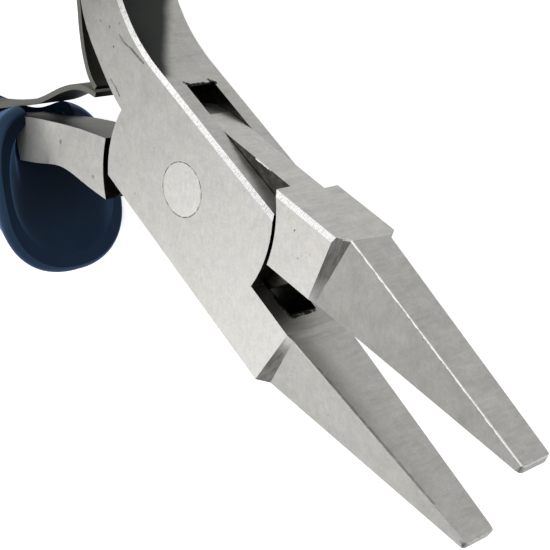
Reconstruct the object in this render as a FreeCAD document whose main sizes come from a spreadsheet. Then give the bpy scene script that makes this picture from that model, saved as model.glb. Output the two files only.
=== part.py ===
import FreeCAD, Part
import os, math
import Sketcher
from FreeCAD import Vector, Placement, Rotation

# Box-joint flat nose pliers for jewellery work, millimetres, +Z up.
# The pivot axis is the Z axis. The joint's underside face is at Z = 0 and its upper face at Z = joint_thick.
# The nose points along +X. Each half is drawn in its own closed frame (both jaws on the X axis) and turned
# by half of the resting opening: the box half clockwise, the tongue half anticlockwise.

doc = FreeCAD.newDocument("flat_nose_pliers")
sheet = doc.addObject("Spreadsheet::Sheet", "Dims")
DIMS = [
    ("joint_thick", 8.0), ("half_open", 6.23), ("edge_top", 7.5), ("edge_low", 7.5),
    ("slot_wide", 3.84), ("tongue_thick", 3.68), ("rivet_rad", 2.9), ("bore_rad", 2.95),
    ("cheek_arc", 13.05), ("block_arc", 13.5), ("cheek_rear", 11.8), ("shoulder_arc", 12.65),
    ("step_pos", 19.5), ("jaw_base", 20.4), ("jaw_tip", 46.15),
    ("base_half_wide", 4.0), ("base_outer_half", 2.52), ("tip_half_wide", 2.2), ("tip_outer_half", 2.13),
    ("base_high", 7.75), ("tip_high", 0.86), ("jaw_relief", 0.4), ("tip_round", 0.5),
    ("edge_high", 7.72), ("inner_drop", 0.62),
    ("bevel_face", 0.62), ("bevel_side", 0.19), ("far_arc", 14.6), ("step_lean", 0.5),
    ("spring_wide", 5.6), ("spring_thick", 0.6), ("channel_wide", 6.4),
    ("spring_rivet_rad", 1.25), ("spring_head_rad", 2.1), ("spring_head_high", 0.8),
    ("spring_hole_rad", 1.5), ("tang_half", 2.7),
]
V = {}
for row, (alias, value) in enumerate(DIMS, start=1):
    sheet.set(f"A{row}", alias)
    sheet.set(f"B{row}", str(value))
    sheet.setAlias(f"B{row}", alias)
    V[alias] = value
doc.recompute()
HALF = V["joint_thick"] / 2.0


def origin_plane(body, role):
    return next(f for f in body.Origin.OriginFeatures if f.Role == role)


def new_sketch(body, name, role, offset=None):
    sk = body.newObject("Sketcher::SketchObject", name)
    sk.AttachmentSupport = [(origin_plane(body, role), "")]
    sk.MapMode = "FlatFace"
    if offset:
        sk.setExpression("AttachmentOffset.Base.z", offset)
    return sk


def v2(p):
    return Vector(p[0], p[1], 0)


def outline(sk, start, parts, bound=()):
    """Closed profile. parts: ("line", point), ("arc", point, alias, ccw) about the pivot, ("curve", [points], end tangents).
    bound: (index of the part, "x" or "y", expression) fixes that part's end point."""
    ids = []
    here = v2(start)
    for part in parts:
        kind = part[0]
        if kind == "line":
            there = v2(part[1])
            ids.append(sk.addGeometry(Part.LineSegment(here, there), False))
        elif kind == "arc":
            there = v2(part[1])
            rad = V[part[2]]
            a0 = math.atan2(here.y, here.x)
            a1 = math.atan2(there.y, there.x)
            circle = Part.Circle(Vector(0, 0, 0), Vector(0, 0, 1), rad)
            if part[3]:
                arc = Part.ArcOfCircle(circle, a0, a1 if a1 > a0 else a1 + 2 * math.pi)
            else:
                arc = Part.ArcOfCircle(circle, a1, a0 if a0 > a1 else a0 + 2 * math.pi)
            ids.append(sk.addGeometry(arc, False))
        else:
            pts = [here] + [v2(p) for p in part[1]]
            there = pts[-1]
            curve = Part.BSplineCurve()
            t0, t1 = part[2]
            curve.interpolate(Points=pts, InitialTangent=v2(t0), FinalTangent=v2(t1)) if t0 else curve.interpolate(pts)
            ids.append(sk.addGeometry(curve, False))
        here = there
    n = len(parts)
    for i, part in enumerate(parts):
        if part[0] == "arc":
            sk.addConstraint(Sketcher.Constraint("Coincident", ids[i], 3, -1, 1))
            c = sk.addConstraint(Sketcher.Constraint("Radius", ids[i], V[part[2]]))
            sk.setExpression(f"Constraints[{c}]", f"Dims.{part[2]}")
        elif part[0] == "curve":
            sk.addConstraint(Sketcher.Constraint("Block", ids[i]))
    def end_index(i):
        return 1 if parts[i][0] == "arc" and not parts[i][3] else 2
    def start_index(i):
        return 2 if parts[i][0] == "arc" and not parts[i][3] else 1
    for i in range(n):
        j = (i + 1) % n
        sk.addConstraint(Sketcher.Constraint("Coincident", ids[i], end_index(i), ids[j], start_index(j)))
    pts = []
    here = v2(start)
    for part in parts:
        here = v2(part[1] if part[0] != "curve" else part[1][-1])
        pts.append(here)
    for i, way, expr in bound:
        kind = "DistanceX" if way == "x" else "DistanceY"
        value = pts[i].x if way == "x" else pts[i].y
        c = sk.addConstraint(Sketcher.Constraint(kind, -1, 1, ids[i], end_index(i), value))
        if expr:
            sk.setExpression(f"Constraints[{c}]", expr)
    return ids


def on_circle(rad, y, side):
    return (side * math.sqrt(rad * rad - y * y), y)


def pad(body, sk, name, length_expr):
    f = body.newObject("PartDesign::Pad", name)
    f.Profile = sk
    f.Midplane = True
    f.setExpression("Length", length_expr)
    body.Tip = f
    doc.recompute()
    return f


def cut(body, sk, name, length_expr=None, through=False):
    before = body.Tip.Shape.Volume
    f = body.newObject("PartDesign::Pocket", name)
    f.Profile = sk
    f.Midplane = True
    if through:
        f.Type = "ThroughAll"
    else:
        f.setExpression("Length", length_expr)
    body.Tip = f
    doc.recompute()
    assert f.Shape.Volume < before - 0.01, name + " cut nothing"
    return f


def quad(sk, pts, exprs):
    """Closed straight-sided profile, every corner fixed; exprs hold an x and a y expression per corner."""
    ids = []
    n = len(pts)
    for i in range(n):
        ids.append(sk.addGeometry(Part.LineSegment(v2(pts[i]), v2(pts[(i + 1) % n])), False))
    for i in range(n):
        sk.addConstraint(Sketcher.Constraint("Coincident", ids[i], 2, ids[(i + 1) % n], 1))
    for i in range(n):
        for kind, value, expr in (("DistanceX", pts[i][0], exprs[i][0]), ("DistanceY", pts[i][1], exprs[i][1])):
            c = sk.addConstraint(Sketcher.Constraint(kind, -1, 1, ids[i], 1, value))
            if expr:
                sk.setExpression(f"Constraints[{c}]", expr)
    return ids


def jaw(body, side, lean=0.0):
    """Ruled step from the block to the jaw, then the long tapered jaw. side is +1 for the jaw above the X axis.
    lean moves the step forward by that much at the underside and back at the upper face."""
    s = side
    angle = -math.degrees(math.atan2(lean, HALF))
    tall = 1.0 / math.cos(math.radians(angle))
    neg = "" if s > 0 else "-"
    first = new_sketch(body, "step_section", "YZ_Plane", "Dims.step_pos")
    quad(first, [(s * 0.55, -HALF), (s * 7.7, -HALF), (s * 7.7, HALF), (s * 0.55, HALF)],
         [(f"{neg}(Dims.inner_drop - 0.07)" if s < 0 else "0.30", "-Dims.joint_thick / 2"),
          (f"{neg}Dims.edge_high", "-Dims.joint_thick / 2"),
          (f"{neg}Dims.edge_high", "Dims.joint_thick / 2"),
          (f"{neg}(Dims.inner_drop - 0.07)" if s < 0 else "0.30", "Dims.joint_thick / 2")])
    front = first
    if lean:
        front = new_sketch(body, "leaning_section", "YZ_Plane")
        front.AttachmentOffset = Placement(Vector(0, 0, V["step_pos"] + lean + 0.03), Rotation(Vector(1, 0, 0), angle))
        front.setExpression("AttachmentOffset.Base.z", "Dims.step_pos + Dims.step_lean + 0.03")
        high = f"Dims.joint_thick / 2 * {tall:.6f}"
        quad(front, [(s * 0.3, -HALF * tall), (s * 7.72, -HALF * tall), (s * 7.72, HALF * tall), (s * 0.3, HALF * tall)],
             [("0.30", f"-{high}"), ("Dims.edge_high", f"-{high}"), ("Dims.edge_high", high), ("0.30", high)])
    second = new_sketch(body, "base_section", "YZ_Plane", "Dims.jaw_base + Dims.step_lean" if lean else "Dims.jaw_base")
    if lean:
        second.AttachmentOffset = Placement(Vector(0, 0, V["jaw_base"] + lean), Rotation(Vector(1, 0, 0), angle))
        second.setExpression("AttachmentOffset.Base.z", "Dims.jaw_base + Dims.step_lean")
    quad(second, [(s * 0.4, -4.0), (s * 7.75, -2.52), (s * 7.75, 2.52), (s * 0.4, 4.0)],
         [(f"{neg}Dims.jaw_relief", "-(Dims.base_half_wide - 0.06)"), (f"{neg}Dims.base_high", "-Dims.base_outer_half"),
          (f"{neg}Dims.base_high", "Dims.base_outer_half"), (f"{neg}Dims.jaw_relief", "Dims.base_half_wide - 0.06")])
    third = new_sketch(body, "tip_section", "YZ_Plane", "Dims.jaw_tip")
    quad(third, [(s * 0.02, -2.2), (s * 0.86, -2.13), (s * 0.86, 2.13), (s * 0.02, 2.2)],
         [(f"{neg}0.02", "-Dims.tip_half_wide"), (f"{neg}Dims.tip_high", "-Dims.tip_outer_half"),
          (f"{neg}Dims.tip_high", "Dims.tip_outer_half"), (f"{neg}0.02", "Dims.tip_half_wide")])
    doc.recompute()
    if lean:
        wedge = body.newObject("PartDesign::AdditiveLoft", "leaning_end")
        wedge.Profile = first
        wedge.Sections = [front]
        wedge.Ruled = True
        body.Tip = wedge
        doc.recompute()
    step = body.newObject("PartDesign::AdditiveLoft", "step")
    step.Profile = front
    step.Sections = [second]
    step.Ruled = True
    body.Tip = step
    doc.recompute()
    arm = body.newObject("PartDesign::AdditiveLoft", "jaw_taper")
    arm.Profile = second
    arm.Sections = [third]
    arm.Ruled = True
    body.Tip = arm
    doc.recompute()
    # the gripping face is ground flat in one plane
    rear = V["jaw_base"] + 0.6
    sk = new_sketch(body, "gripping_flat_outline", "XY_Plane")
    quad(sk, [(rear, s * 0.42), (V["jaw_tip"] + 1.0, s * 0.05), (V["jaw_tip"] + 1.0, -s * 1.5), (rear, -s * 1.5)],
         [("Dims.jaw_base + 0.6", f"{neg}(Dims.jaw_relief + 0.02)"), ("Dims.jaw_tip + 1", f"{neg}0.05"),
          ("Dims.jaw_tip + 1", None), ("Dims.jaw_base + 0.6", None)])
    cut(body, sk, "gripping_flat", through=True)
    # the two upright corners of the nose are rounded over; back from the end and in from the side, in shares of the radius
    corner = [(1.0, 0.0), (0.62, 0.08), (0.29, 0.29), (0.08, 0.62), (0.0, 1.0), (-1.0, 1.0), (-1.0, -1.0), (1.0, -1.0)]
    rad = V["tip_round"]
    sk = new_sketch(body, "nose_corner_outlines", "XZ_Plane")
    for up, sign in ((1, ""), (-1, "-")):
        quad(sk, [(V["jaw_tip"] - rad * back, up * (V["tip_half_wide"] - rad * inside)) for back, inside in corner],
             [(f"Dims.jaw_tip - Dims.tip_round * {back}", f"{sign}(Dims.tip_half_wide - Dims.tip_round * {inside})") for back, inside in corner])
    base = body.Tip
    f = body.newObject("PartDesign::Pocket", "nose_corners")
    f.Profile = sk
    f.Midplane = True
    f.Type = "ThroughAll"
    body.Tip = f
    doc.recompute()
    near = Part.makeBox(1.0, 1.0, 1.0, Vector(V["jaw_tip"] - 0.7, min(0.0, s * 1.0), V["tip_half_wide"] - 0.7))
    taken = base.Shape.common(near).Volume - f.Shape.common(near).Volume
    assert f.State == ["Up-to-date"] and taken > 0.02, ("nose corners not rounded", taken)


def bevel(body, name, test, size_face, size_side, want):
    """Two-distance bevel along the edges that test picks; the wide leg lies on the flat side face."""
    base = body.Tip
    names = []
    for i, e in enumerate(base.Shape.Edges, start=1):
        mid = e.valueAt((e.FirstParameter + e.LastParameter) / 2.0)
        if test(e, mid):
            names.append(f"Edge{i}")
    f = body.newObject("PartDesign::Chamfer", name)
    f.Base = (base, names)
    f.ChamferType = "Two distances"
    f.setExpression("Size", size_face)
    f.setExpression("Size2", size_side)
    body.Tip = f
    doc.recompute()
    def wide_on_face(shape):
        good = bad = 0
        for face in shape.Faces:
            n = face.normalAt(*[sum(r) / 2 for r in (face.ParameterRange[:2], face.ParameterRange[2:])])
            c = face.CenterOfMass
            if want(c) and 0.05 < abs(n.z) < 0.995 and abs(abs(c.z) - HALF) < 0.5:
                if abs(n.z) > 0.7:
                    good += 1
                else:
                    bad += 1
        return good, bad
    good, bad = wide_on_face(f.Shape) if f.isValid() else (0, 1)
    if bad > good:
        f.FlipDirection = True
        doc.recompute()
        good, bad = wide_on_face(f.Shape)
    print(name, "edges", len(names), "faces", good, bad, "valid", f.isValid())
    return f


def taper_tang(body):
    """Thins the handle from the joint's full thickness to the tang inside the grip, on both flat sides."""
    sk = new_sketch(body, "tang_taper", "XZ_Plane")
    t = V["tang_half"]
    for s in (1, -1):
        pts = [Vector(-20.0, s * HALF, 0), Vector(-23.0, s * (HALF - 0.12), 0), Vector(-26.5, s * (HALF - 0.62), 0),
               Vector(-30.0, s * (t + 0.18), 0), Vector(-33.0, s * t, 0)]
        c = Part.BSplineCurve()
        c.interpolate(Points=pts, InitialTangent=Vector(-1, 0, 0), FinalTangent=Vector(-1, 0, 0))
        a = sk.addGeometry(c, False)
        b = sk.addGeometry(Part.LineSegment(pts[-1], Vector(-95, s * t, 0)), False)
        d = sk.addGeometry(Part.LineSegment(Vector(-95, s * t, 0), Vector(-95, s * 9, 0)), False)
        e = sk.addGeometry(Part.LineSegment(Vector(-95, s * 9, 0), Vector(-20, s * 9, 0)), False)
        g = sk.addGeometry(Part.LineSegment(Vector(-20, s * 9, 0), pts[0]), False)
        sk.addConstraint(Sketcher.Constraint("Block", a))
        for one, two in ((a, b), (b, d), (d, e), (e, g), (g, a)):
            sk.addConstraint(Sketcher.Constraint("Coincident", one, 2, two, 1))
    doc.recompute()
    cut(body, sk, "tang_thinned", "80")


# --- handle lines, drawn for the tongue half (handle below the X axis); the box half mirrors the far ones ---
TANG_END_X = -76.0
tongue_inner = [(-16.75, -3.15), (-20.8, -4.85), (-24.0, -6.35), (-26.5, -7.68), (-28.6, -8.95), (-30.2, -10.15), (-32.7, -11.8),
                (-35.5, -13.35), (-38.6, -14.7), (-42.0, -15.75), (-45.0, -16.42), (-48.6, -17.0), (-52.0, -17.4), (-64.0, -18.3),
                (TANG_END_X, -18.2)]
tongue_outer = [(-12.6, -8.3), (-14.5, -8.45), (-16.4, -8.6), (-18.1, -8.98), (-19.7, -9.75), (-21.4, -10.75),
                (-23.2, -11.75), (-27.0, -13.75), (-31.0, -15.55), (-35.0, -17.05), (-40.0, -18.6), (-46.0, -20.0),
                (-52.0, -20.95), (-64.0, -21.75), (TANG_END_X, -21.3)]
box_inner = [(-14.0, 0.45), (-16.1, 1.12), (-17.9, 1.78), (-19.9, 2.58), (-22.2, 3.75), (-24.2, 5.05), (-25.6, 6.02), (-27.0, 7.08),
             (-28.6, 8.45), (-30.2, 9.85), (-32.7, 11.75), (-35.5, 13.35), (-38.6, 14.7), (-42.0, 15.75), (-45.0, 16.42), (-48.6, 17.0),
             (-52.0, 17.4), (-64.0, 18.3), (TANG_END_X, 18.2)]
box_outer = [(-12.5, 7.52), (-14.6, 7.85), (-16.6, 8.45), (-18.4, 9.2), (-20.4, 10.25), (-23.2, 11.8),
             (-27.0, 13.9), (-31.0, 15.65), (-35.0, 17.1), (-40.0, 18.65), (-46.0, 20.05), (-52.0, 21.0), (-64.0, 21.75),
             (TANG_END_X, 21.3)]

# ------------------------------------------------------------------ box half
box = doc.addObject("PartDesign::Body", "box_half_body")
box.Label = "box_half"
sk = new_sketch(box, "cheek_outline", "XY_Plane")
low_rear = on_circle(V["cheek_rear"], -7.35, -1)
top_front = on_circle(V["cheek_arc"], 7.62, 1)
in_front = on_circle(V["cheek_arc"], -0.45, 1)
rear_in = (-V["cheek_rear"], 0.02)
top_rear = (-10.6, 7.4)
outline(sk, low_rear, [
    ("line", (0.0, -7.5)),
    ("line", (19.5, -7.72)),
    ("line", (19.5, -0.55)),
    ("line", in_front),
    ("arc", top_front, "cheek_arc", True),
    ("line", top_rear),
    ("curve", box_outer, ((top_rear[0] - top_front[0], top_rear[1] - top_front[1]), (-20, -1.2))),
    ("line", box_inner[-1]),
    ("curve", list(reversed(box_inner[:-1])) + [rear_in], ((6, 0.1), (3, -0.35))),
    ("arc", low_rear, "cheek_rear", True),
], bound=[(0, "x", None), (0, "y", "-Dims.edge_low"), (1, "x", "Dims.step_pos"), (1, "y", "-Dims.edge_high"),
          (2, "x", "Dims.step_pos"), (2, "y", "-(Dims.inner_drop - 0.07)"), (3, "y", None), (4, "y", None)])
pad(box, sk, "cheeks_and_handle", "Dims.joint_thick")
bevel(box, "top_bevel", lambda e, m: abs(abs(m.z) - HALF) < 1e-3 and m.x < 10.8 and m.y > 7.2 and m.y > 0.42 * abs(m.x),
      "Dims.bevel_face", "Dims.bevel_side", lambda c: c.y > 6.8 and c.x < 11)
jaw(box, -1)
taper_tang(box)

# slot for the tongue: open above, below and behind, closed by the front block and the handle's root
sk = new_sketch(box, "slot_outline", "XY_Plane")
quad(sk, [(-7.45, 14.0), (-7.45, 7.2), (-11.95, -0.25), (-16.0, -0.25), (-16.0, -14.0), (4.4, -14.0), (17.75, -0.35), (17.75, 14.0)],
     [(None, None)] * 8)
cut(box, sk, "slot", "Dims.slot_wide")

sk = new_sketch(box, "rivet_bore_circle", "XY_Plane")
c = sk.addGeometry(Part.Circle(Vector(0, 0, 0), Vector(0, 0, 1), V["rivet_rad"]), False)
sk.addConstraint(Sketcher.Constraint("Coincident", c, 3, -1, 1))
r = sk.addConstraint(Sketcher.Constraint("Radius", c, V["rivet_rad"]))
sk.setExpression(f"Constraints[{r}]", "Dims.rivet_rad")
cut(box, sk, "rivet_bore", through=True)


# ------------------------------------------------------------------ tongue half
ton = doc.addObject("PartDesign::Body", "tongue_half_body")
ton.Label = "tongue_half"
sk = new_sketch(ton, "block_outline", "XY_Plane")
b_low = on_circle(V["block_arc"], 0.1, 1)
b_top = on_circle(V["block_arc"], 7.55, 1)
outline(sk, b_low, [
    ("line", (19.5, 0.3)),
    ("line", (19.5, 7.72)),
    ("line", b_top),
    ("arc", b_low, "block_arc", False),
], bound=[(0, "x", "Dims.step_pos"), (0, "y", None), (1, "x", "Dims.step_pos"), (1, "y", "Dims.edge_high"), (2, "y", None), (3, "y", None)])
pad(ton, sk, "block", "Dims.joint_thick")
sk = new_sketch(ton, "tongue_outline", "XY_Plane")
quad(sk, [(-13.6, -1.9), (-11.0, -0.7), (-9.75, 1.4), (-8.75, 3.3), (-7.4, 5.05), (-5.9, 6.25), (-4.2, 7.0), (-2.2, 7.36), (0.0, 7.42),
          (14.0, 7.58), (16.9, 4.0), (16.9, 0.2), (16.55, 0.0), (10.0, -7.4), (0.0, -7.45), (-10.2, -7.6), (-14.4, -8.1), (-15.0, -5.0)],
     [(None, None)] * 18)
pad(ton, sk, "tongue", "Dims.tongue_thick")
sk = new_sketch(ton, "shank_outline", "XY_Plane")
s_in = on_circle(V["shoulder_arc"], -1.72, -1)
s_out = on_circle(V["shoulder_arc"], -7.95, -1)
outline(sk, s_in, [
    ("curve", tongue_inner, ((-4, -1.25), (-6, 0.2))),
    ("line", tongue_outer[-1]),
    ("curve", list(reversed(tongue_outer[:-1])) + [s_out], ((6, -0.4), (3, 0.4))),
    ("arc", s_in, "shoulder_arc", False),
], bound=[])
pad(ton, sk, "shank", "Dims.joint_thick")
sk = new_sketch(ton, "underside_shoulder", "XY_Plane", "-Dims.tongue_thick / 2")
far_low = on_circle(V["far_arc"], -0.6, 1)
far_high = on_circle(V["far_arc"], 8.6, 1)
outline(sk, (9.0, -0.6), [("line", far_low), ("arc", far_high, "far_arc", True), ("line", (9.0, 8.6)), ("line", (9.0, -0.6))], bound=[])
before = ton.Tip.Shape.Volume
f = ton.newObject("PartDesign::Pocket", "underside_shoulder_cut")
f.Profile = sk
f.Length = 6.0
ton.Tip = f
doc.recompute()
assert f.Shape.Volume < before - 5.0, "underside shoulder cut nothing"
jaw(ton, 1, V["step_lean"])
taper_tang(ton)
sk = new_sketch(ton, "pivot_bore_circle", "XY_Plane")
c = sk.addGeometry(Part.Circle(Vector(0, 0, 0), Vector(0, 0, 1), V["bore_rad"]), False)
sk.addConstraint(Sketcher.Constraint("Coincident", c, 3, -1, 1))
r = sk.addConstraint(Sketcher.Constraint("Radius", c, V["bore_rad"]))
sk.setExpression(f"Constraints[{r}]", "Dims.bore_rad")
cut(ton, sk, "pivot_bore", through=True)
bevel(ton, "block_bevel", lambda e, m: abs(abs(m.z) - HALF) < 1e-3 and 11 < m.x < 19.4 and m.y > 7.3,
      "Dims.bevel_face", "Dims.bevel_side", lambda c: c.y > 7.0 and c.x > 11)

# ------------------------------------------------------------------ pivot rivet
riv = doc.addObject("PartDesign::Body", "pivot_rivet_body")
riv.Label = "pivot_rivet"
sk = new_sketch(riv, "rivet_section", "XY_Plane")
c = sk.addGeometry(Part.Circle(Vector(0, 0, 0), Vector(0, 0, 1), V["rivet_rad"]), False)
sk.addConstraint(Sketcher.Constraint("Coincident", c, 3, -1, 1))
r = sk.addConstraint(Sketcher.Constraint("Radius", c, V["rivet_rad"]))
sk.setExpression(f"Constraints[{r}]", "Dims.rivet_rad")
f = pad(riv, sk, "rivet_shank", "Dims.joint_thick")

# ------------------------------------------------------------------ leaf springs
# The line is the face that looks at the other spring, drawn below the X axis; the box half's is turned over.
spring_root = [(-52.2, -16.76), (-48.6, -16.33), (-45.0, -15.5), (-42.0, -14.6), (-38.6, -13.28), (-35.5, -11.68)]
spring_line = {
    -1: spring_root + [(-32.7, -9.9), (-30.2, -8.1), (-28.6, -6.98), (-26.5, -5.5), (-24.8, -3.9), (-23.85, -2.85), (-22.8, -1.7), (-21.9, -0.86),
                       (-20.7, 0.05), (-19.1, 0.76), (-18.2, 0.98), (-17.1, 1.14)],
    1: spring_root + [(-32.7, -9.85), (-30.2, -7.7), (-28.6, -6.3), (-27.0, -4.95), (-25.3, -3.5), (-24.4, -2.56), (-23.5, -1.55), (-22.5, -0.54),
                      (-21.6, 0.3), (-20.3, 1.3), (-19.1, 2.02), (-18.2, 2.34), (-17.3, 2.5)],
}


def spring(name, side):
    b = doc.addObject("PartDesign::Body", name + "_body")
    b.Label = name
    sk = new_sketch(b, "leaf_section", "XY_Plane")
    c = Part.BSplineCurve()
    c.interpolate([Vector(x, y, 0) for x, y in spring_line[side]])
    t = V["spring_thick"]
    over, under = [], []
    steps = 44
    for i in range(steps + 1):
        u = c.FirstParameter + (c.LastParameter - c.FirstParameter) * i / steps
        p = c.value(u)
        d = c.tangent(u)[0]
        n = Vector(d.y, -d.x, 0)
        over.append((p.x, -side * p.y))
        q = p + n * t
        under.append((q.x, -side * q.y))
    # side = +1: handle above the X axis
    a = Part.BSplineCurve()
    a.interpolate([v2(p) for p in over])
    z = Part.BSplineCurve()
    z.interpolate([v2(p) for p in reversed(under)])
    i0 = sk.addGeometry(a, False)
    i1 = sk.addGeometry(Part.LineSegment(v2(over[-1]), v2(under[-1])), False)
    i2 = sk.addGeometry(z, False)
    i3 = sk.addGeometry(Part.LineSegment(v2(under[0]), v2(over[0])), False)
    sk.addConstraint(Sketcher.Constraint("Block", i0))
    sk.addConstraint(Sketcher.Constraint("Block", i2))
    for one, two in ((i0, i1), (i1, i2), (i2, i3), (i3, i0)):
        sk.addConstraint(Sketcher.Constraint("Coincident", one, 2, two, 1))
    doc.recompute()
    pad(b, sk, "leaf", "Dims.spring_wide")
    return b


def spring_root_frame(side):
    """Centre of the spring rivet on the tang's inner face, and the outward normal of that face."""
    c = Part.BSplineCurve()
    c.interpolate([Vector(x, y, 0) for x, y in spring_line[side]])
    u = c.parameter(Vector(-48.6, -16.33, 0))
    p = c.value(u)
    d = c.tangent(u)[0]
    n = Vector(-d.y, d.x, 0)      # towards the other handle
    if n.y < 0:
        n = n * -1
    if side > 0:
        p = Vector(p.x, -p.y, 0)
        n = Vector(n.x, -n.y, 0)
    return p, n


springs = {}
for name, side in (("box_spring", 1), ("tongue_spring", -1)):
    b = spring(name, side)
    springs[name] = b

# Each spring has a clearance hole for its rivet; the hole's axis is square to the leaf, so it is cut by boolean.
def axis_placement(p, n):
    return Placement(p, Rotation(Vector(0, 0, 1), n))


def sheet_cylinder(name, radius_alias, length, place):
    o = doc.addObject("Part::Cylinder", name)
    o.setExpression("Radius", f"Dims.{radius_alias}")
    o.Height = length
    o.Placement = place
    return o


leaf_cuts = {}
for name, side in (("box_spring", 1), ("tongue_spring", -1)):
    p, n = spring_root_frame(side)
    hole = sheet_cylinder(name + "_hole", "spring_hole_rad", 6.0, axis_placement(p - n * 3.0, n))
    o = doc.addObject("Part::Cut", name + "_leaf")
    o.Base = springs[name]
    o.Tool = hole
    springs[name].Label = name + "_blank"
    o.Label = name
    leaf_cuts[name] = o

rivets = {}
for name, side in (("box_spring", 1), ("tongue_spring", -1)):
    p, n = spring_root_frame(side)
    shank = sheet_cylinder(name + "_rivet_shank", "spring_rivet_rad", 3.3, axis_placement(p - n * 3.0, n))
    head = sheet_cylinder(name + "_rivet_head", "spring_head_rad", V["spring_head_high"], axis_placement(p + n * 0.25, n))
    head.setExpression("Height", "Dims.spring_head_high")
    both = doc.addObject("Part::Fuse", name + "_rivet_blank")
    both.Base = shank
    both.Tool = head
    o = doc.addObject("Part::Fillet", name + "_rivet_round")
    o.Base = both
    doc.recompute()
    edges = []
    for i, e in enumerate(both.Shape.Edges, start=1):
        if isinstance(e.Curve, Part.Circle) and abs(e.Curve.Radius - V["spring_head_rad"]) < 1e-6:
            m = e.Curve.Center
            if (m - p).dot(n) > 0.6:
                edges.append((i, 0.5, 0.5))
    o.Edges = edges
    o.Label = name + "_rivet"
    rivets[name] = o
doc.recompute()

# ------------------------------------------------------------------ grips
# Closed smooth shells along the tang. Each section: distance from the guard's front, where it is widest, reach
# towards the other handle, reach outwards, half width in Z, squareness on both sides.
grip_mid = [(-24.8, -9.6), (-28.5, -11.95), (-32.0, -13.75), (-36.0, -15.3), (-41.0, -16.85), (-47.0, -18.2), (-53.0, -19.1), (-60.0, -19.75),
            (-68.0, -20.0), (-76.0, -19.75), (-84.0, -19.0)]
GUARD = (Vector(-24.8, -9.6, 0), Vector(0.574, -0.819, 0))
SECTIONS = [
    (0.0, 8.0, 3.0, 15.8, 8.0, 3.0, 2.25), (0.4, 8.0, 3.5, 16.2, 8.35, 3.0, 2.3), (1.2, 7.9, 3.9, 16.35, 8.4, 3.0, 2.35),
    (2.3, 7.4, 4.0, 15.8, 7.95, 2.9, 2.4), (4.0, 6.0, 3.9, 14.2, 7.2, 2.6, 2.4), (6.4, 3.8, 3.5, 11.9, 6.7, 2.4, 2.4),
    (9.2, 2.6, 3.25, 9.6, 6.5, 2.3, 2.35), (13.0, 1.6, 3.2, 8.0, 6.4, 2.3, 2.35), (18.0, 1.2, 3.2, 7.0, 6.3, 2.3, 2.35),
    (25.0, 1.2, 3.2, 6.6, 6.25, 2.3, 2.4), (33.0, 1.0, 3.4, 6.7, 6.3, 2.3, 2.4), (41.0, 0.9, 3.6, 6.8, 6.3, 2.35, 2.4),
    (49.0, 0.8, 3.7, 6.4, 6.0, 2.35, 2.35), (55.0, 0.6, 3.6, 5.4, 5.4, 2.3, 2.3), (59.0, 0.4, 3.0, 4.2, 4.5, 2.2, 2.2),
    (61.2, 0.2, 2.1, 2.7, 3.1, 2.1, 2.1), (62.1, 0.1, 1.0, 1.2, 1.5, 2.0, 2.0)]
# Shallow dish in the guard's front face, same columns.
DISH = [(-0.5, 7.4, 2.2, 15.1, 7.6, 2.4, 2.2), (0.25, 6.6, 2.4, 13.4, 6.7, 2.3, 2.1), (0.9, 4.4, 3.2, 8.7, 5.2, 2.3, 2.0),
        (1.6, 1.9, 3.5, 4.5, 4.5, 2.5, 2.0), (2.3, 0.0, 3.5, 1.5, 4.2, 2.7, 2.2)]
GUARD_TURN = 0.05       # the guard's front is turned a little about its long direction
GUARD_LEAN = 0.06       # and its outer end leans to one side


def grip_shell(side, sections=SECTIONS):
    c = Part.BSplineCurve()
    c.interpolate([Vector(x, y, 0) for x, y in grip_mid])
    length = c.length(c.FirstParameter, c.LastParameter)
    wires = []
    for s, centre, inn, out, wide, sq_in, sq_out in sections:
        u = c.parameterAtDistance(min(max(s, 0.0), length - 1e-3))
        p = c.value(u)
        d = c.tangent(u)[0]
        outward = Vector(-d.y, d.x, 0)
        if outward.y > 0:
            outward = outward * -1
        w = min(1.0, max(0.0, 1.0 - s / 11.0))
        w = w * w * (3 - 2 * w)
        front, way = GUARD
        p = p * (1 - w) + (front + Vector(way.y, -way.x, 0) * s) * w
        outward = (outward * (1 - w) + way * w).normalize()
        pts = []
        n = 28
        for k in range(n):
            a = 2 * math.pi * k / n
            ca, sa = math.cos(a), math.sin(a)
            sq = sq_out if ca > 0 else sq_in
            reach = out - centre if ca > 0 else inn + centre
            x = centre + reach * math.copysign(abs(ca) ** (2 / sq), ca)
            z = wide * math.copysign(abs(sa) ** (2 / sq), sa)
            z += side * GUARD_LEAN * x * w
            q = p + outward * x + Vector(-way.y, way.x, 0) * (side * z * GUARD_TURN * w)
            pts.append(Vector(q.x, -side * q.y, z))
        w = Part.BSplineCurve()
        w.interpolate(pts, PeriodicFlag=True)
        wires.append(Part.Wire([w.toShape()]))
    return Part.makeLoft(wires, True, False, False)


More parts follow.
